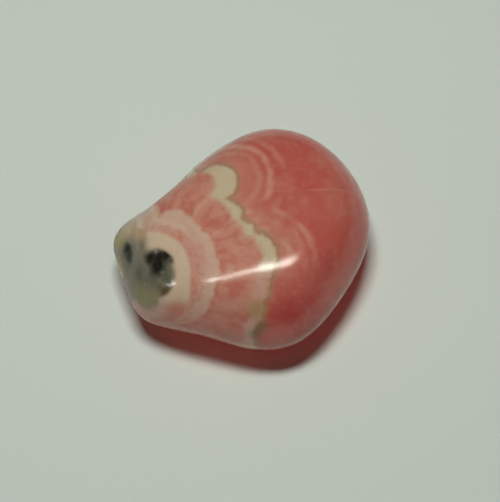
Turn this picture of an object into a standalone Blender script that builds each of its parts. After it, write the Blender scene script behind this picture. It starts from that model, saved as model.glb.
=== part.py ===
"""A tumble-polished rhodochrosite pebble: one solid stone, resting on a small flat under its belly.

Metres, +Z up. The origin is on the ground under the middle of the stone. +X points along its length
to the wide rose red end, and -X to the narrow end, where dark matrix is left in the stone.
The form is that of a stone ground on all sides: worn faces and a low dome above the girdle, worn faces
and a flatter dome below it, and every corner between them rounded off.
"""

from math import cos, exp, radians, sin

import bmesh
import bpy
from mathutils import Vector

MM = 0.001
STONE = "rhodochrosite_stone"

# The heart of the stone, from which every ground face is measured, is this high above the ground.
HEART_HEIGHT = 5.6

# Worn faces above the girdle: azimuth and elevation in degrees, distance from the heart in millimetres.
CROWN_FACES = {
    "top": (100, 83, 8.0),
    "front_bevel": (-92, 40, 12.9),
    "front_left": (-119, 20, 12.0),
    "narrow_end": (187, 30, 12.9),
    "left_flank": (118, 22, 9.5),
    "back": (80, 22, 13.6),
    "back_right": (48, 18, 16.2),
    "wide_end_back": (12, 20, 15.2),
    "wide_end": (-18, 18, 16.6),
    "front_right": (-47, 27, 13.1),
}

# Worn faces below the girdle, in the same measures.
BELLY_FACES = {
    "underside": (0, -90, 6.3),
    "under_narrow_end": (187, -28, 12.7),
    "under_front_left": (-121, -28, 11.2),
    "under_front": (-92, -30, 15.4),
    "under_front_right": (-49, -28, 12.2),
    "under_wide_end": (-18, -32, 15.2),
    "under_back_right": (44, -32, 14.8),
    "under_back": (80, -32, 13.0),
    "under_left": (120, -32, 10.3),
}

# Half length, half width and height or depth, in millimetres, of the domes that bound the two halves.
CROWN_DOME = (18.2, 16.5, 9.0)
BELLY_DOME = (18.2, 16.5, 6.3)

# How sharply neighbouring faces meet: a higher number keeps more of the corner.
CROWN_SHARPNESS = 8.0
BELLY_SHARPNESS = 7.0
GIRDLE_SHARPNESS = 11.0

# Soft dips and swells: azimuth, elevation, half width in degrees, depth in millimetres (minus is a swell).
DIPS = {
    "left_waist": (135, 6, 18, 0.75),
    "front_waist": (-122, -6, 14, 0.3),
    "narrow_end_heel": (-155, -6, 12, -0.8),
    "narrow_end_brow": (162, 2, 10, -0.55),
    "matrix_undercut": (-172, 17, 14, 0.15),
}

# Pits where dark grains broke out of the matrix, in the same measures.
PITS = {
    "upper_left": (-170, 33, 3.0, 0.26),
    "upper_middle": (-164, 33, 3.6, 0.34),
    "upper_right": (-162, 39, 3.0, 0.26),
    "lower_right": (-156, 31, 2.8, 0.22),
    "far_left": (178, 19, 3.4, 0.30),
    "far_left_low": (-177, 15, 3.2, 0.26),
    "centre": (-167, 20, 3.8, 0.20),
    "low": (-158, 11, 3.2, 0.18),
    "under": (-174, -8, 4.0, 0.24),
    "under_left": (170, -14, 3.4, 0.20),
}

# The triangle net: a ball, flattened so that its triangles come out even on the flat stone, and
# split once more about the matrix end so that the pits keep their form.
BALL_LEVEL = 5
BALL_FLATTENING = 0.7
MATRIX_AIM = (-172, 14)
MATRIX_SPREAD = 26

# Points this near the cut under the belly are moved onto it, so that the cut leaves no slivers.
CUT_SNAP = 0.03 * MM

ROSE = (0.60, 0.17, 0.14, 1.0)
POLISH_ROUGHNESS = 0.22


def clear_scene():
    """Remove whatever a new file starts with."""
    for item in list(bpy.data.objects):
        bpy.data.objects.remove(item, do_unlink=True)


def toward(azimuth, elevation):
    """The unit vector that points along an azimuth and an elevation in degrees."""
    turn = radians(azimuth)
    rise = radians(elevation)
    return Vector((cos(turn) * cos(rise), sin(turn) * cos(rise), sin(rise)))


def half_strength(direction, faces, dome, sharpness, upward):
    """One over the distance, in metres, from the heart to one half's skin along a direction."""
    total = 0.0
    for azimuth, elevation, distance in faces.values():
        facing = max(0.0, direction.dot(toward(azimuth, elevation)))
        total += (facing / (distance * MM)) ** sharpness
    half_length, half_width, reach = dome
    rise = max(0.0, direction.z * upward)
    bound = Vector((direction.x / half_length, direction.y / half_width, rise / reach)).length / MM
    total += bound ** sharpness
    return total ** (1 / sharpness)


def dip_depth(direction, dips):
    """How far a group of dips or pits lowers the skin along a direction, in metres."""
    depth_here = 0.0
    for azimuth, elevation, half_width, depth in dips.values():
        away = direction.angle(toward(azimuth, elevation)) / radians(half_width)
        depth_here += depth * MM * exp(-away * away)
    return depth_here


def stone_radius(direction):
    """The distance from the heart to the skin of the stone along a direction."""
    above = half_strength(direction, CROWN_FACES, CROWN_DOME, CROWN_SHARPNESS, 1)
    below = half_strength(direction, BELLY_FACES, BELLY_DOME, BELLY_SHARPNESS, -1)
    both = (above ** GIRDLE_SHARPNESS + below ** GIRDLE_SHARPNESS) ** (1 / GIRDLE_SHARPNESS)
    return 1 / both - dip_depth(direction, DIPS) - dip_depth(direction, PITS)


def split_matrix_end(body):
    """Split the triangles about the matrix end once more."""
    aim = toward(*MATRIX_AIM)
    spread = radians(MATRIX_SPREAD)
    edges = [edge for edge in body.edges if all(point.co.angle(aim) < spread for point in edge.verts)]
    bmesh.ops.subdivide_edges(body, edges=edges, cuts=1)
    bmesh.ops.triangulate(body, faces=[face for face in body.faces if len(face.verts) > 3])


def grind(body):
    """Move every point of the ball out to the skin of the stone."""
    heart = Vector((0, 0, HEART_HEIGHT * MM))
    for point in body.verts:
        direction = point.co.normalized()
        point.co = heart + direction * stone_radius(direction)


def flatten_underside(body):
    """Cut the belly off at ground level and close the cut flat, with triangles about its middle."""
    for point in body.verts:
        if abs(point.co.z) < CUT_SNAP:
            point.co.z = 0.0
    everything = body.verts[:] + body.edges[:] + body.faces[:]
    cut = bmesh.ops.bisect_plane(body, geom=everything, plane_no=(0, 0, -1), clear_outer=True)
    rim = [item for item in cut["geom_cut"] if isinstance(item, bmesh.types.BMEdge)]
    flat = bmesh.ops.edgeloop_fill(body, edges=rim)["faces"]
    bmesh.ops.poke(body, faces=flat)
    bmesh.ops.recalc_face_normals(body, faces=body.faces)


def centre_over_origin(body):
    """Slide the stone so that the middle of its length and width is over the origin."""
    for axis in (0, 1):
        places = [point.co[axis] for point in body.verts]
        middle = (min(places) + max(places)) / 2
        for point in body.verts:
            point.co[axis] -= middle


def rose_polish():
    """The plain rose finish of the polished stone."""
    material = bpy.data.materials.new("polished_rhodochrosite")
    material.use_nodes = True
    shader = material.node_tree.nodes["Principled BSDF"]
    shader.inputs["Base Color"].default_value = ROSE
    shader.inputs["Roughness"].default_value = POLISH_ROUGHNESS
    shader.inputs["Metallic"].default_value = 0.0
    return material


def make_stone(collection):
    """The whole stone, one closed solid."""
    bpy.ops.mesh.primitive_ico_sphere_add(subdivisions=BALL_LEVEL, radius=1.0)
    stone = bpy.context.object
    stone.name = STONE
    stone.data.name = STONE
    body = bmesh.new()
    body.from_mesh(stone.data)
    bmesh.ops.scale(body, vec=(1, 1, BALL_FLATTENING), verts=body.verts)
    split_matrix_end(body)
    grind(body)
    flatten_underside(body)
    centre_over_origin(body)
    bmesh.ops.triangulate(body, faces=body.faces[:])
    body.to_mesh(stone.data)
    body.free()
    stone.data.shade_smooth()
    stone.data.materials.append(rose_polish())
    for home in list(stone.users_collection):
        home.objects.unlink(stone)
    collection.objects.link(stone)


def main():
    clear_scene()
    collection = bpy.data.collections.new("tumbled_rhodochrosite")
    bpy.context.scene.collection.children.link(collection)
    make_stone(collection)


main()
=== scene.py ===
"""A tumble-polished rhodochrosite pebble on a pale floor, under soft light.

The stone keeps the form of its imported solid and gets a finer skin: a faint ripple left by the
tumbling and a slightly grainy patch of dark matrix at its narrow end. Its colour is built from
growth fronts, as in the real mineral: each front is a row of rounded lobes, and each band of colour
lies between two fronts and runs right through the stone, so it shows on every side. Lengths of the
stone and of its pattern are in millimetres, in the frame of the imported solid.
"""

from math import radians
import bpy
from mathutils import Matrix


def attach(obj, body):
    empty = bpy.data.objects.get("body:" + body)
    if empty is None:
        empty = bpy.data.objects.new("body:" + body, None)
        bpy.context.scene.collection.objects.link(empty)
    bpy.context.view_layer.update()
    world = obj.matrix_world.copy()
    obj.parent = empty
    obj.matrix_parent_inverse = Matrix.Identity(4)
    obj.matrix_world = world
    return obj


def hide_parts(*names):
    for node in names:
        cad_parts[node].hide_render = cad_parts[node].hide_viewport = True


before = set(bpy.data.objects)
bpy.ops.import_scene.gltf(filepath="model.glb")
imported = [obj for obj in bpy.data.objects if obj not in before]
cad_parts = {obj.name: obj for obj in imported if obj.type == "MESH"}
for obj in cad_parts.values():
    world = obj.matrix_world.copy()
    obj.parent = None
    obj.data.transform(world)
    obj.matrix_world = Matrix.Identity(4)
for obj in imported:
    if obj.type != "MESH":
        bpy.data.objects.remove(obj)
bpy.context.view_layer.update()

from types import SimpleNamespace

import bpy
from mathutils import Matrix, Vector

MM = 0.001
STONE_NODE = "rhodochrosite_stone"

# Fine skin of the stone: how far points may be apart and still be one, and how often it is divided.
MERGE_DISTANCE = 0.001 * MM
SKIN_LEVELS = 2

# Relief of the skin: the size of its clouds and its full height, in metres. The last value is the
# width in millimetres over which the grain of the matrix fades out.
RIPPLE_LENGTH = 3.0 * MM
RIPPLE_HEIGHT = 0.03 * MM
GRAIN_LENGTH = 0.55 * MM
GRAIN_HEIGHT = 0.04 * MM
CRUMB_LENGTH = 0.22 * MM
CRUMB_HEIGHT = 0.015 * MM
MATRIX_SKIN_FADE = 0.9

# Heights in millimetres of the relief that is left to the shading alone.
POLISH_MARKS = 0.003
MATRIX_MARKS = 0.012

# Growth fronts. Each lobe is a centre and a radius, and a sheet is a direction and how far along it
# the front lies.
CREAM_BAND_SHEET = ((1.0, 0.1, 0.0), -3.0)
CREAM_BAND_LOBES = {
    "core": ((-6.5, -1.2, 8.0), 8.1),
    "hook": ((-1.9, 4.7, 11.6), 2.5),
    "neck": ((-2.2, 0.4, 12.0), 2.4),
    "bridge": ((-1.0, -2.0, 12.0), 2.2),
    "wide": ((-0.3, -4.4, 11.8), 3.05),
    "bend": ((-1.3, -6.9, 11.4), 2.4),
    "front": ((-2.7, -8.2, 10.0), 2.95),
}
CREAM_HEART_SHEET = ((1.0, 0.1, 0.0), -3.9)
CREAM_HEART_LOBES = {
    "core": ((-6.5, -1.2, 8.0), 7.5),
    "hook": ((-3.9, 4.9, 11.6), 2.1),
    "neck": ((-3.3, 1.0, 12.0), 2.15),
    "bridge": ((-2.2, -1.5, 12.1), 2.15),
    "wide": ((-1.2, -4.0, 12.0), 2.45),
    "bend": ((-2.2, -6.6, 11.6), 2.2),
    "front": ((-3.6, -7.8, 10.2), 2.8),
}
BLUSH_BAND_LOBES = {
    "main": ((-9.2, -3.0, 10.5), 5.9),
    "upper": ((-7.4, 1.0, 11.5), 2.2),
    "tip": ((-5.3, -4.2, 11.8), 2.0),
    "left": ((-9.3, 2.5, 9.5), 2.6),
}
BORDER_LOBES = {
    "main": ((-10.45, -2.9, 9.6), 4.95),
    "left": ((-11.5, 2.0, 8.5), 3.0),
}
MATRIX_LOBES = {
    "upper": ((-10.3, -2.9, 10.8), 2.35),
    "middle": ((-12.0, -1.8, 9.2), 2.8),
    "left": ((-12.65, 2.1, 8.1), 2.55),
    "brow": ((-11.3, 0.5, 9.9), 1.85),
    "low": ((-11.9, -4.0, 8.6), 1.8),
    "edge": ((-13.0, -2.2, 7.0), 1.7),
}

# Over how many millimetres neighbouring lobes melt into one another.
FRONT_SOFTNESS = 0.5

# How places are moved about before the fronts are measured: clouds per millimetre, and reach. The
# ragged and the crumbly places are moved on from the drifted ones.
DRIFT = (0.5, 0.5)
RAGGED = (2.4, 0.22)
CRUMBLY = (0.9, 0.6)

# Small teeth along the fronts: how many in a millimetre, how round, the middle of the pattern, how
# deep they bite, and over what distance from the hook, which is smooth, they grow.
TEETH_PER_MM = 1.15
TEETH_ROUNDNESS = 0.3
TEETH_MIDDLE = 0.4
TEETH_DEPTH = 0.35
TEETH_FROM_HOOK = (0.3, 1.5)

# Cloudy patterns: clouds per millimetre, then how fine their detail is.
ROSE_CLOUDS = (0.22, 3.0)
RING_BREAKS = (0.35, 2.0)
SALMON_STREAKS = (3.6, 3.0)
SALMON_BLOTCHES = (0.8, 2.0)
STRIP_PATCHES = (1.8, 3.0)
SPECKLES = (0.9, 2.0)
MOTTLES = (1.6, 4.0)
POLISH_MARK_CLOUDS = (1.4, 2.0)
MATRIX_MARK_CLOUDS = (3.0, 3.0)

# The middle of the values that a cloudy pattern gives in each direction.
NOISE_MIDDLE = (0.5, 0.5, 0.5)

# How far the streaks in the salmon follow the place itself, beside the direction from their middle.
STREAK_WANDER = 0.1

# Faint growth rings in the rose end: their middle, then the radius and strength of each.
RINGS = (
    ((-0.6, 4.6, 11.2), ((3.7, 0.35), (4.85, 0.55), (6.1, 0.3))),
    ((0.5, -4.8, 11.5), ((3.6, 0.6), (4.7, 0.35), (5.7, 0.5))),
)
RING_HALF_WIDTH = 0.6

# How much the faint hairline across the rose end slants.
HAIRLINE_SLANT = 0.076

# Where the rose colour is deepest: the middle of each place, its radius and how strong it is.
DEEP_PLACES = (
    ((7.6, -6.8, 10.9), 1.4, 0.35),
    ((5.5, -8.6, 10.6), 1.2, 0.35),
    ((2.0, -10.5, 10.2), 0.9, 0.8),
    ((3.5, -10.6, 8.5), 2.4, 0.45),
)

# Veils of colour: the measure at which each starts, the one at which it is full, and how strong it is
# there. The measures are millimetres beyond a front or along an axis, or values of a cloudy pattern.
DEEP_ROSE_VEIL = (0.6, 0.4, 0.6)
HAZE_VEIL = (3.8, 0.0, 0.55)
DARK_STREAK_VEIL = (0.42, 0.7, 0.8)
PALE_STREAK_VEIL = (0.45, 0.25, 0.5)
LOW_SALMON_VEIL = (12.0, 8.0, 0.6)
BLOTCH_VEIL = (0.5, 0.75, 0.6)
STAIN_VEIL = (0.7, -0.7, 0.75)
BLUSH_DEPTH_VEIL = (-0.6, -1.8, 0.65)
STRIP_PATCH_VEIL = (0.45, 0.65, 0.34)
ORANGE_VEIL = (0.3, -0.3, 0.6)
BORDER_FLUSH_VEIL = (0.6, 2.0, 0.8)
SPECKLE_VEIL = (0.45, 0.8, 0.12)
PALE_MOTTLE_VEIL = (0.5, 0.9, 0.2)
DARK_MOTTLE_VEIL = (0.5, 0.25, 0.12)

# Lines of colour: where the middle of each is, half its width, and how strong it is.
HAIRLINE = (2.05, 0.16, 0.25)
OLIVE_EDGE_LINE = (0.1, 0.5, 0.75)
BLUSH_EDGE_LINE = (-0.1, 0.4, 0.55)
LEFT_PALE_LINE = (1.1, 0.45, 0.6)

# Where a layer fades in: the measure at which it starts and the one at which it is full.
DEEP_PLACE_EDGE = (1.5, -1.5)
HAZE_FROM_FRONT = (-10.0, -6.0)
RING_BREAK_EDGE = (0.35, 0.6)
RINGS_FROM_FRONT = (-7.5, -4.5)
HAIRLINE_START = (6.0, 8.5)
HAIRLINE_LOW_END = (8.0, 11.0)
PINK_TOWARDS_FRONT = (-5.5, -7.0)
CREAM_EDGE = (0.15, -0.25)
SALMON_EDGE = (0.35, -0.35)
BLUSH_EDGE = (0.3, -0.45)
BLUSH_UPWARDS = (8.0, 11.3)
STRIP_BY_BORDER = (2.0, 0.9)
STRIP_IN_BLUSH = (-0.1, -0.6)
LEFT_LINE_FROM_FRONT = (-1.5, 0.0)
# Where the low border turns dusky: partly its own tone, partly painted shade.
DUSKY_SHADE_DOWNWARDS = (11.0, 8.8)
FLUSH_DOWNWARDS = (11.4, 9.6)
BORDER_EDGE = (0.2, -0.3)
MATRIX_EDGE = (0.6, -0.45)
SPOTS_IN_MATRIX = (0.45, 0.0)
BARE_EDGE = (0.3, -0.3)

# How much of its cover the cream band loses at the front, how much cover the blush band has low down,
# and how much it gains higher up.
CREAM_LOSS = 0.25
BLUSH_COVER = 0.3
BLUSH_GAIN = 0.6

# Finish of the stone: how rough the polish is, what the bare matrix and the speckles add to it, and
# how much light goes in, how far in each colour, and how deep in metres.
POLISH_ROUGHNESS = 0.12
BARE_ROUGHNESS = 0.12
SPECKLE_ROUGHNESS = 0.05
SCATTER_SHARE = 0.5
SCATTER_REACH = (1.0, 0.3, 0.2)
SCATTER_DEPTH = 1.2 * MM

# Camera: where it looks, from where, and how much of the scene its long side takes in.
LOOK_AT = (0.305, -0.855, 5.6)
CAMERA_AZIMUTH = -14
CAMERA_ELEVATION = 68
CAMERA_DISTANCE = 200
CAMERA_NEAREST = 10
PHOTO_SIZE = (500, 502)
MM_PER_PIXEL = 0.1087
SENSOR = 36.0

# The floor, which lies a hair under the stone.
FLOOR_SIZE = 2000
FLOOR_DROP = 0.02
FLOOR_ROUGHNESS = 0.9
FLOOR_SHINE = 0.2

# Lamps: the direction in which each stands, how far away, its length and width, and its power.
OVERHEAD = ((-0.03, 0.118, 1.0), 300, 92, 42, 0.7)
NEAR_FILL = ((-0.9, -0.75, 0.5), 400, 200, 200, 0.27)
FAR_FILL = ((0.9, 0.0, 0.5), 400, 200, 200, 0.26)
LEFT_GLINT = ((-0.18, -0.225, 1.0), 400, 214, 30, 0.3)
RIGHT_GLINT = ((0.245, -0.12, 1.0), 400, 150, 50, 0.34)
SPECK_GLINT = ((-0.86, -0.28, 0.41), 400, 56, 56, 0.2)
GLOW = ((0, 0, 1), 4, 27, 23, 0.0002)

# How the long glint lamps are turned, so that their two reflections make one straight glint.
LEFT_GLINT_ALONG = (0.469, 0.304, 0)
RIGHT_GLINT_ALONG = (0.414, -0.1, 0)

# Where the glow through the stone is aimed, and over what angle it shines.
GLOW_AIM = (0.6, -1.6, 0)
GLOW_SPREAD = 80

# Tints of the lamps, and the weak light of the room.
NEAR_FILL_TINT = (1.0, 0.82, 0.8)
FAR_FILL_TINT = (1.0, 0.6, 0.53)
GLINT_TINT = (1.0, 1.0, 0.9)
GLOW_TINT = (1.0, 0.08, 0.09)
ROOM_COLOUR = (0.80, 0.83, 0.78, 1.0)
ROOM_STRENGTH = 0.027


def linear(red, green, blue):
    """The linear colour of a tone given as it looks, from 0 to 255."""
    parts = []
    for part in (red, green, blue):
        share = part / 255
        parts.append(share / 12.92 if share <= 0.04045 else ((share + 0.055) / 1.055) ** 2.4)
    return (*parts, 1.0)


# Tones of the bands, from the rose end to the border of the matrix.
ROSE = linear(176, 100, 86)
DEEP_ROSE = linear(173, 77, 68)
CRIMSON = linear(156, 54, 58)
OLIVE_LINE = linear(146, 126, 88)
CREAM = linear(185, 173, 143)
PINK_CREAM = linear(190, 163, 142)
OLIVE_TAN = linear(158, 130, 84)
DARK_OLIVE = linear(104, 88, 62)
SALMON = linear(185, 134, 114)
PALE_SALMON = linear(197, 158, 134)
DARK_SALMON = linear(176, 100, 84)
ORANGE = linear(186, 116, 80)
TAN_CREAM = linear(193, 176, 148)
# Dusky pink of the low border: partly the stone's own tone, partly painted shade.
DUSKY_PINK_WITH_SHADE = linear(177, 144, 126)

# Tones of the matrix and of the floor.
MATRIX_GREY = linear(122, 116, 98)
TAN_BROWN = linear(176, 152, 116)
MOSS = linear(152, 142, 84)
OLIVE = linear(127, 122, 80)
OLIVE_BROWN = linear(88, 72, 46)
GREEN_GREY = linear(90, 92, 72)
BLACK_FLECK = linear(30, 28, 23)
FLOOR_GREY = linear(210, 218, 207)

# Stains in the front part of the cream band: a tone, a centre and a radius.
BAND_STAINS = (
    (OLIVE_TAN, (-1.2, -9.6, 11.2), 1.0),
    (DARK_OLIVE, (-0.9, -10.9, 9.2), 0.7),
    (DARK_OLIVE, (-1.8, -11.2, 8.4), 0.6),
    (PINK_CREAM, (-2.9, -11.7, 5.6), 0.9),
)

# Small orange streaks just outside the border of the matrix: centres and radii.
ORANGE_STREAKS = (
    ((-7.9, -0.3, 12.8), 0.35),
    ((-7.2, -0.6, 12.9), 0.3),
    ((-8.7, 0.5, 12.5), 0.25),
)

# Grains and stains of the matrix: a tone, how soft its edge is, and its spots as centres and radii.
MATRIX_SPOTS = (
    (TAN_BROWN, 0.8, (
        ((-12.3, 3.2, 9.0), 1.7),
        ((-11.0, 2.0, 11.0), 1.0),
    )),
    (MOSS, 0.7, (
        ((-13.4, 2.8, 7.8), 1.0),
        ((-13.7, 0.6, 7.0), 0.6),
    )),
    (OLIVE, 0.8, (
        ((-12.3, -4.0, 8.6), 1.3),
        ((-10.9, -5.2, 9.5), 1.1),
        ((-10.2, -4.8, 10.6), 0.6),
    )),
    (OLIVE_BROWN, 0.7, (
        ((-9.9, -5.0, 10.9), 0.8),
        ((-9.4, -4.2, 11.6), 0.5),
    )),
    (GREEN_GREY, 1.1, (
        ((-12.0, -2.4, 9.7), 1.3),
        ((-10.6, -3.1, 11.0), 1.2),
        ((-9.6, -3.7, 11.6), 1.0),
        ((-12.8, 1.4, 9.1), 0.8),
        ((-12.7, 0.5, 9.2), 0.9),
        ((-12.8, -0.4, 8.9), 0.8),
    )),
    (BLACK_FLECK, 0.5, (
        ((-10.6, -1.3, 11.5), 0.7),
        ((-9.8, -1.7, 12.0), 0.75),
        ((-9.1, -1.85, 12.4), 0.75),
        ((-8.4, -2.2, 12.6), 0.6),
        ((-10.1, -2.4, 11.7), 0.9),
        ((-10.3, -3.0, 11.3), 0.6),
        ((-12.8, 1.2, 9.1), 0.6),
        ((-12.7, 0.2, 9.1), 0.6),
        ((-13.2, 0.4, 5.2), 0.5),
    )),
)


# Shaping the skin

def select_only(piece):
    """Make one object the selected and the active one."""
    bpy.ops.object.select_all(action="DESELECT")
    piece.select_set(True)
    bpy.context.view_layer.objects.active = piece


def apply_modifier(piece, modifier):
    """Work a modifier into a piece's mesh for good."""
    select_only(piece)
    bpy.ops.object.modifier_apply(modifier=modifier.name)


def copy_of_solid(node, name):
    """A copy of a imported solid, its loose triangles joined into one skin."""
    select_only(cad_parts[node])
    bpy.ops.object.duplicate()
    piece = bpy.context.view_layer.objects.active
    piece.name = name
    piece.data.name = name
    select_only(piece)
    bpy.ops.object.mode_set(mode="EDIT")
    bpy.ops.mesh.select_all(action="SELECT")
    bpy.ops.mesh.remove_doubles(threshold=MERGE_DISTANCE)
    bpy.ops.object.mode_set(mode="OBJECT")
    bpy.ops.object.shade_smooth()
    return piece


def refine(piece, levels):
    """Divide a piece's skin evenly."""
    divide = piece.modifiers.new("finer_skin", "SUBSURF")
    divide.levels = levels
    divide.render_levels = levels
    apply_modifier(piece, divide)


def roughen(piece, name, length, height, group=None):
    """Push a piece's skin in and out by a cloudy pattern, all over or only at a group of points."""
    pattern = bpy.data.textures.new(name, "CLOUDS")
    pattern.noise_scale = length
    push = piece.modifiers.new(name, "DISPLACE")
    push.texture = pattern
    push.texture_coords = "LOCAL"
    push.strength = height
    push.mid_level = 0.5
    if group:
        push.vertex_group = group
    apply_modifier(piece, push)


def outside_lobes(point, lobes):
    """How far outside the nearest lobe a point lies, in millimetres; less than zero is inside."""
    return min((point / MM - Vector(centre)).length - radius for centre, radius in lobes.values())


def mark_matrix(piece):
    """Name the points of the matrix patch, fading out at its edge, and return the group's name."""
    group = piece.vertex_groups.new(name="matrix_patch")
    for vertex in piece.data.vertices:
        outside = outside_lobes(vertex.co, MATRIX_LOBES)
        share = min(1.0, max(0.0, 0.5 - outside / MATRIX_SKIN_FADE))
        if share > 0:
            group.add([vertex.index], share, "REPLACE")
    return group.name


# Steps of a pattern

def wire(tree, socket, value):
    """Join an output to a socket, or set the socket to a plain value."""
    if isinstance(value, bpy.types.NodeSocket):
        tree.links.new(value, socket)
    else:
        socket.default_value = value


def maths(tree, operation, *values):
    """One step of arithmetic on numbers."""
    node = tree.nodes.new("ShaderNodeMath")
    node.operation = operation
    for socket, value in zip(node.inputs, values):
        wire(tree, socket, value)
    return node.outputs["Value"]


def product(tree, first, *others):
    """Numbers multiplied together."""
    for other in others:
        first = maths(tree, "MULTIPLY", first, other)
    return first


def vector_maths(tree, operation, *values, output="Vector"):
    """One step of arithmetic on places."""
    node = tree.nodes.new("ShaderNodeVectorMath")
    node.operation = operation
    for socket, value in zip(node.inputs, values):
        wire(tree, socket, value)
    return node.outputs[output]


def scaled(tree, vector, factor):
    """A place or a direction made longer or shorter."""
    node = tree.nodes.new("ShaderNodeVectorMath")
    node.operation = "SCALE"
    wire(tree, node.inputs["Vector"], vector)
    wire(tree, node.inputs["Scale"], factor)
    return node.outputs["Vector"]


def fade(tree, value, start, end):
    """Rises smoothly from 0 where the value is at start to 1 where it is at end."""
    node = tree.nodes.new("ShaderNodeMapRange")
    node.interpolation_type = "SMOOTHSTEP"
    wire(tree, node.inputs["Value"], value)
    node.inputs["From Min"].default_value = start
    node.inputs["From Max"].default_value = end
    return node.outputs["Result"]


def veil(tree, value, start, end, strength):
    """As fade, but it rises to the strength."""
    return product(tree, fade(tree, value, start, end), strength)


def line(tree, value, middle, half_width, strength):
    """The strength where the value is at middle, falling smoothly to 0 a half width away."""
    away = maths(tree, "ABSOLUTE", maths(tree, "SUBTRACT", value, middle))
    return veil(tree, away, half_width, 0.0, strength)


def paint(tree, under, over, *amounts):
    """One colour laid over another, as thick as the amounts multiplied together."""
    node = tree.nodes.new("ShaderNodeMix")
    node.data_type = "RGBA"
    colour_under, colour_over = (socket for socket in node.inputs if socket.type == "RGBA")
    wire(tree, node.inputs["Factor"], product(tree, *amounts))
    wire(tree, colour_under, under)
    wire(tree, colour_over, over)
    return next(socket for socket in node.outputs if socket.type == "RGBA")


def cloud(tree, place, per_mm, detail=2.0, output="Fac"):
    """A cloudy noise with about so many clouds in a millimetre."""
    node = tree.nodes.new("ShaderNodeTexNoise")
    wire(tree, node.inputs["Vector"], place)
    node.inputs["Scale"].default_value = per_mm
    node.inputs["Detail"].default_value = detail
    return node.outputs[output]


def cells(tree, place, per_mm, roundness):
    """How far a place is from the middle of its cell, in a pattern of rounded cells."""
    node = tree.nodes.new("ShaderNodeTexVoronoi")
    node.feature = "SMOOTH_F1"
    wire(tree, node.inputs["Vector"], place)
    node.inputs["Scale"].default_value = per_mm
    node.inputs["Smoothness"].default_value = roundness
    return node.outputs["Distance"]


def moved(tree, place, per_mm, reach):
    """The place moved about at random by up to half the reach, in millimetres."""
    noise = vector_maths(tree, "SUBTRACT", cloud(tree, place, per_mm, output="Color"), NOISE_MIDDLE)
    return vector_maths(tree, "ADD", place, scaled(tree, noise, reach))


def lobe(tree, place, centre, radius):
    """How far outside one lobe a place is."""
    away = vector_maths(tree, "DISTANCE", place, centre, output="Value")
    return maths(tree, "SUBTRACT", away, radius)


def nearest(tree, place, lobes, outside=None):
    """How far outside the nearest of some lobes a place is, the lobes melting into one another."""
    for centre, radius in lobes:
        this = lobe(tree, place, centre, radius)
        outside = this if outside is None else maths(tree, "SMOOTH_MIN", outside, this, FRONT_SOFTNESS)
    return outside


def front(tree, place, lobes, sheet=None):
    """How far beyond a growth front a place is, less than zero within it."""
    beyond_sheet = None
    if sheet:
        direction, reach = sheet
        ahead = vector_maths(tree, "DOT_PRODUCT", place, Vector(direction).normalized(), output="Value")
        beyond_sheet = maths(tree, "SUBTRACT", ahead, reach)
    return nearest(tree, place, lobes.values(), beyond_sheet)


# Colouring the stone

def survey(tree):
    """Where a point of the stone lies: its place in millimetres, and how far beyond each front it is."""
    at = SimpleNamespace()
    to_mm = tree.nodes.new("ShaderNodeMapping")
    to_mm.inputs["Scale"].default_value = (1 / MM, 1 / MM, 1 / MM)
    tree.links.new(tree.nodes.new("ShaderNodeTexCoord").outputs["Object"], to_mm.inputs["Vector"])
    at.place = to_mm.outputs["Vector"]
    at.drift = moved(tree, at.place, *DRIFT)
    at.ragged = moved(tree, at.drift, *RAGGED)
    at.crumbly = moved(tree, at.drift, *CRUMBLY)
    parts = tree.nodes.new("ShaderNodeSeparateXYZ")
    tree.links.new(at.drift, parts.inputs["Vector"])
    at.along = parts.outputs["X"]
    at.depth = parts.outputs["Y"]
    at.height = parts.outputs["Z"]
    at.speckle = cloud(tree, at.place, *SPECKLES)

    bites = maths(tree, "SUBTRACT", cells(tree, at.drift, TEETH_PER_MM, TEETH_ROUNDNESS), TEETH_MIDDLE)
    teeth = product(tree, bites, TEETH_DEPTH)
    from_hook = lobe(tree, at.drift, *CREAM_BAND_LOBES["hook"])
    scallop = product(tree, teeth, fade(tree, from_hook, *TEETH_FROM_HOOK))
    at.band = maths(tree, "ADD", front(tree, at.ragged, CREAM_BAND_LOBES, CREAM_BAND_SHEET), scallop)
    at.heart = maths(tree, "ADD", front(tree, at.ragged, CREAM_HEART_LOBES, CREAM_HEART_SHEET), scallop)
    at.blush = maths(tree, "ADD", front(tree, at.ragged, BLUSH_BAND_LOBES), teeth)
    at.border = front(tree, at.ragged, BORDER_LOBES)
    at.matrix = front(tree, at.ragged, MATRIX_LOBES)
    return at


def rose_end(tree, at):
    """The clear rose end: deeper places, a haze by the cream band, faint rings and a hairline."""
    clouds = cloud(tree, at.drift, *ROSE_CLOUDS)
    colour = paint(tree, ROSE, DEEP_ROSE, veil(tree, clouds, *DEEP_ROSE_VEIL))
    for centre, radius, strength in DEEP_PLACES:
        deep = fade(tree, lobe(tree, at.drift, centre, radius), *DEEP_PLACE_EDGE)
        colour = paint(tree, colour, CRIMSON, deep, strength)
    haze = veil(tree, at.band, *HAZE_VEIL)
    colour = paint(tree, colour, SALMON, haze, fade(tree, at.depth, *HAZE_FROM_FRONT))

    # The rings break up here and there, and die away towards the front.
    broken = fade(tree, cloud(tree, at.place, *RING_BREAKS), *RING_BREAK_EDGE)
    breaks = product(tree, broken, fade(tree, at.depth, *RINGS_FROM_FRONT))
    for centre, circles in RINGS:
        for radius, strength in circles:
            ring = line(tree, lobe(tree, at.drift, centre, radius), 0.0, RING_HALF_WIDTH, strength)
            colour = paint(tree, colour, PALE_SALMON, ring, breaks)

    # The hairline starts in the middle of the rose end and fades out low on the wide end.
    slanted = maths(tree, "MULTIPLY_ADD", at.along, HAIRLINE_SLANT, at.depth)
    seen = product(tree, fade(tree, at.along, *HAIRLINE_START), fade(tree, at.height, *HAIRLINE_LOW_END))
    return paint(tree, colour, PALE_SALMON, line(tree, slanted, *HAIRLINE), seen)


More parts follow.
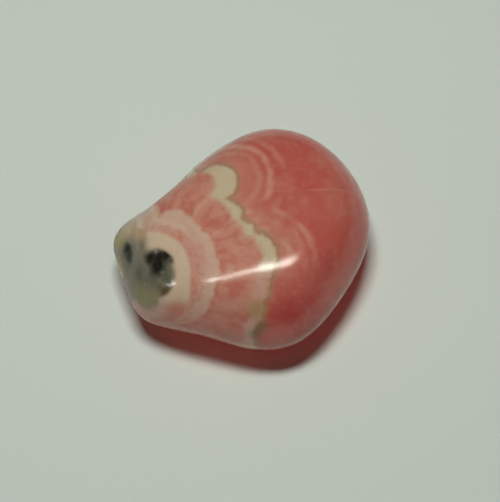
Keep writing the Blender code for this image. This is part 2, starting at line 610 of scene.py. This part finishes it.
def cream_band(tree, at, colour):
    """The cream band, with its olive outer line; towards the front it thins to a pinkish haze."""
    colour = paint(tree, colour, OLIVE_LINE, line(tree, at.band, *OLIVE_EDGE_LINE))
    towards_front = fade(tree, at.depth, *PINK_TOWARDS_FRONT)
    cream = paint(tree, CREAM, PINK_CREAM, towards_front)
    cover = maths(tree, "MULTIPLY_ADD", towards_front, -CREAM_LOSS, 1.0)
    return paint(tree, colour, cream, fade(tree, at.band, *CREAM_EDGE), cover)


def salmon_zone(tree, at, colour):
    """Salmon between the cream and the blush band, streaked outwards from the matrix end."""
    middle = BLUSH_BAND_LOBES["main"][0]
    outwards = vector_maths(tree, "NORMALIZE", vector_maths(tree, "SUBTRACT", at.drift, middle))
    streaked = vector_maths(tree, "ADD", outwards, scaled(tree, at.drift, STREAK_WANDER))
    streaks = cloud(tree, streaked, *SALMON_STREAKS)
    salmon = paint(tree, SALMON, DARK_SALMON, veil(tree, streaks, *DARK_STREAK_VEIL))
    salmon = paint(tree, salmon, PALE_SALMON, veil(tree, streaks, *PALE_STREAK_VEIL))
    salmon = paint(tree, salmon, DARK_SALMON, veil(tree, at.height, *LOW_SALMON_VEIL))
    blotches = cloud(tree, at.drift, *SALMON_BLOTCHES)
    salmon = paint(tree, salmon, DARK_SALMON, veil(tree, blotches, *BLOTCH_VEIL))
    colour = paint(tree, colour, salmon, fade(tree, at.heart, *SALMON_EDGE))
    for tone, centre, radius in BAND_STAINS:
        stain = veil(tree, lobe(tree, at.crumbly, centre, radius), *STAIN_VEIL)
        colour = paint(tree, colour, tone, stain)
    return colour


def blush_band(tree, at, colour):
    """The blush band, palest at its outer edge and faint low down."""
    pale = paint(tree, PINK_CREAM, SALMON, veil(tree, at.blush, *BLUSH_DEPTH_VEIL))
    upwards = fade(tree, at.height, *BLUSH_UPWARDS)
    cover = maths(tree, "MULTIPLY_ADD", upwards, BLUSH_GAIN, BLUSH_COVER)
    colour = paint(tree, colour, pale, fade(tree, at.blush, *BLUSH_EDGE), cover)
    return paint(tree, colour, TAN_CREAM, line(tree, at.blush, *BLUSH_EDGE_LINE), cover)


def mottled_strip(tree, at, colour):
    """The mottled strip within the blush band, with a pale line on the left and orange streaks."""
    strip = product(tree, fade(tree, at.border, *STRIP_BY_BORDER), fade(tree, at.blush, *STRIP_IN_BLUSH))
    patches = veil(tree, cloud(tree, at.ragged, *STRIP_PATCHES), *STRIP_PATCH_VEIL)
    colour = paint(tree, colour, DARK_SALMON, strip, patches)
    pale_line = line(tree, at.border, *LEFT_PALE_LINE)
    colour = paint(tree, colour, TAN_CREAM, pale_line, fade(tree, at.depth, *LEFT_LINE_FROM_FRONT))
    for centre, radius in ORANGE_STREAKS:
        streak = veil(tree, lobe(tree, at.ragged, centre, radius), *ORANGE_VEIL)
        colour = paint(tree, colour, ORANGE, streak)
    return colour


def matrix_border(tree, at, colour):
    """The cream border of the matrix, dusky pink low down (partly its own tone, partly painted shade)
    and flushed away from the matrix.
    """
    # Low down the border is painted dusky pink, partly its own tone and partly painted shade.
    rim = paint(tree, TAN_CREAM, DUSKY_PINK_WITH_SHADE, fade(tree, at.height, *DUSKY_SHADE_DOWNWARDS))
    flush = veil(tree, at.matrix, *BORDER_FLUSH_VEIL)
    rim = paint(tree, rim, DARK_SALMON, flush, fade(tree, at.height, *FLUSH_DOWNWARDS))
    return paint(tree, colour, rim, fade(tree, at.border, *BORDER_EDGE))


def mottling(tree, at, colour):
    """A fine mottling over all the bands."""
    mottles = cloud(tree, at.place, *MOTTLES)
    colour = paint(tree, colour, PALE_SALMON, veil(tree, at.speckle, *SPECKLE_VEIL))
    colour = paint(tree, colour, PALE_SALMON, veil(tree, mottles, *PALE_MOTTLE_VEIL))
    return paint(tree, colour, DARK_SALMON, veil(tree, mottles, *DARK_MOTTLE_VEIL))


def matrix_patch(tree, at, colour):
    """The matrix, with its grains and stains, which end at its edge."""
    colour = paint(tree, colour, MATRIX_GREY, fade(tree, at.matrix, *MATRIX_EDGE))
    within = fade(tree, at.matrix, *SPOTS_IN_MATRIX)
    for tone, softness, spots in MATRIX_SPOTS:
        stain = fade(tree, nearest(tree, at.crumbly, spots), softness, -softness)
        colour = paint(tree, colour, tone, stain, within)
    return colour


# The layers that are laid over the rose end, from the first to the last.
LAYERS = (
    cream_band,
    salmon_zone,
    blush_band,
    mottled_strip,
    matrix_border,
    mottling,
    matrix_patch,
)


def relief(tree, place, bare):
    """The finest relief: faint marks left by the polish, and the grain of the bare matrix."""
    marks = product(tree, cloud(tree, place, *POLISH_MARK_CLOUDS), POLISH_MARKS)
    grain = product(tree, cloud(tree, place, *MATRIX_MARK_CLOUDS), bare, MATRIX_MARKS)
    node = tree.nodes.new("ShaderNodeBump")
    node.inputs["Distance"].default_value = MM
    tree.links.new(maths(tree, "ADD", marks, grain), node.inputs["Height"])
    return node.outputs["Normal"]


def rhodochrosite():
    """The polished stone: rose, salmon and cream growth bands round a patch of dark matrix."""
    material = bpy.data.materials.new("banded_rhodochrosite")
    material.use_nodes = True
    tree = material.node_tree
    shader = tree.nodes["Principled BSDF"]
    at = survey(tree)
    colour = rose_end(tree, at)
    for layer in LAYERS:
        colour = layer(tree, at, colour)
    tree.links.new(colour, shader.inputs["Base Color"])
    bare = fade(tree, at.matrix, *BARE_EDGE)
    polish = maths(tree, "MULTIPLY_ADD", bare, BARE_ROUGHNESS, POLISH_ROUGHNESS)
    roughness = maths(tree, "ADD", polish, product(tree, at.speckle, SPECKLE_ROUGHNESS))
    tree.links.new(roughness, shader.inputs["Roughness"])
    tree.links.new(relief(tree, at.place, bare), shader.inputs["Normal"])
    shader.inputs["Subsurface Weight"].default_value = SCATTER_SHARE
    shader.inputs["Subsurface Radius"].default_value = SCATTER_REACH
    shader.inputs["Subsurface Scale"].default_value = SCATTER_DEPTH
    return material


def make_stone():
    """The stone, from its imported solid."""
    stone = copy_of_solid(STONE_NODE, "polished_stone")
    refine(stone, SKIN_LEVELS)
    roughen(stone, "tumbling_ripple", RIPPLE_LENGTH, RIPPLE_HEIGHT)
    patch = mark_matrix(stone)
    roughen(stone, "matrix_grain", GRAIN_LENGTH, GRAIN_HEIGHT, patch)
    roughen(stone, "matrix_crumb", CRUMB_LENGTH, CRUMB_HEIGHT, patch)
    stone.data.materials.clear()
    stone.data.materials.append(rhodochrosite())
    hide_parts(STONE_NODE)
    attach(stone, "root")
    return stone


# The floor, the lamps and the camera

def floor_finish():
    """Pale matt board."""
    material = bpy.data.materials.new("pale_board")
    material.use_nodes = True
    shader = material.node_tree.nodes["Principled BSDF"]
    shader.inputs["Base Color"].default_value = FLOOR_GREY
    shader.inputs["Roughness"].default_value = FLOOR_ROUGHNESS
    shader.inputs["Specular IOR Level"].default_value = FLOOR_SHINE
    return material


def make_floor():
    """A plain floor just under the stone."""
    bpy.ops.object.select_all(action="DESELECT")
    bpy.ops.mesh.primitive_plane_add(size=FLOOR_SIZE * MM, location=(0, 0, -FLOOR_DROP * MM))
    floor = bpy.context.object
    floor.name = "floor"
    floor.data.materials.append(floor_finish())
    return floor


def make_lamp(name, toward, distance, length, width, power, along=(1, 0, 0), aim=LOOK_AT):
    """A flat lamp in a direction from a place, facing it, its length turned along a direction."""
    data = bpy.data.lights.new(name, "AREA")
    data.shape = "RECTANGLE"
    data.size = length * MM
    data.size_y = width * MM
    data.energy = power
    lamp = bpy.data.objects.new(name, data)
    bpy.context.scene.collection.objects.link(lamp)
    back = Vector(toward).normalized()
    across = back.cross(Vector(along)).normalized()
    side = across.cross(back)
    turned = Matrix((side, across, back)).transposed().to_4x4()
    lamp.matrix_world = Matrix.Translation((Vector(aim) + back * distance) * MM) @ turned
    return lamp


def keep_to(lamp, target):
    """Let a lamp light one object alone, with nothing else throwing a shadow in its light."""
    alone = bpy.data.collections.new(lamp.name + "_reach")
    alone.objects.link(target)
    lamp.light_linking.receiver_collection = alone
    lamp.light_linking.blocker_collection = alone


def make_fill(name, placing, tint, stone):
    """A large weak lamp that lights the stone alone and is not mirrored in it."""
    fill = make_lamp(name, *placing)
    fill.data.color = tint
    fill.visible_glossy = False
    keep_to(fill, stone)


def make_glint(name, placing, along=(1, 0, 0)):
    """A lamp that is seen only as its mirror image in the polish."""
    glint = make_lamp(name, *placing, along=along)
    glint.data.color = GLINT_TINT
    glint.visible_diffuse = False


def make_glow(floor):
    """The red light that comes through the stone, which reddens its shadow on the floor."""
    glow = make_lamp("through_the_stone", *GLOW, aim=GLOW_AIM)
    glow.data.shape = "ELLIPSE"
    glow.data.spread = radians(GLOW_SPREAD)
    glow.data.color = GLOW_TINT
    glow.visible_glossy = False
    keep_to(glow, floor)


def light_room():
    """A weak even light from all around."""
    world = bpy.data.worlds.new("room")
    world.use_nodes = True
    sky = world.node_tree.nodes["Background"]
    sky.inputs["Color"].default_value = ROOM_COLOUR
    sky.inputs["Strength"].default_value = ROOM_STRENGTH
    bpy.context.scene.world = world


def light_scene(stone, floor):
    """A soft lamp overhead, two fills, the lamps that glint, the glow and the light of the room."""
    overhead = make_lamp("overhead", *OVERHEAD)
    overhead.visible_glossy = False
    make_fill("near_fill", NEAR_FILL, NEAR_FILL_TINT, stone)
    make_fill("far_fill", FAR_FILL, FAR_FILL_TINT, stone)
    make_glint("glint_left", LEFT_GLINT, LEFT_GLINT_ALONG)
    make_glint("glint_right", RIGHT_GLINT, RIGHT_GLINT_ALONG)
    make_glint("left_speck", SPECK_GLINT)
    make_glow(floor)
    light_room()


def make_camera():
    """The camera at the photograph's angle."""
    data = bpy.data.cameras.new("camera")
    data.sensor_width = SENSOR
    data.lens = SENSOR * CAMERA_DISTANCE / (MM_PER_PIXEL * max(PHOTO_SIZE))
    data.clip_start = CAMERA_NEAREST * MM
    camera = bpy.data.objects.new("camera", data)
    bpy.context.scene.collection.objects.link(camera)
    turn = Matrix.Rotation(radians(CAMERA_AZIMUTH), 4, "Z")
    tilt = Matrix.Rotation(radians(90 - CAMERA_ELEVATION), 4, "X")
    facing = turn @ tilt
    back = facing @ Vector((0, 0, CAMERA_DISTANCE))
    camera.matrix_world = Matrix.Translation((Vector(LOOK_AT) + back) * MM) @ facing
    bpy.context.scene.camera = camera


stone = make_stone()
light_scene(stone, make_floor())
make_camera()
bpy.context.scene.view_settings.view_transform = "Standard"
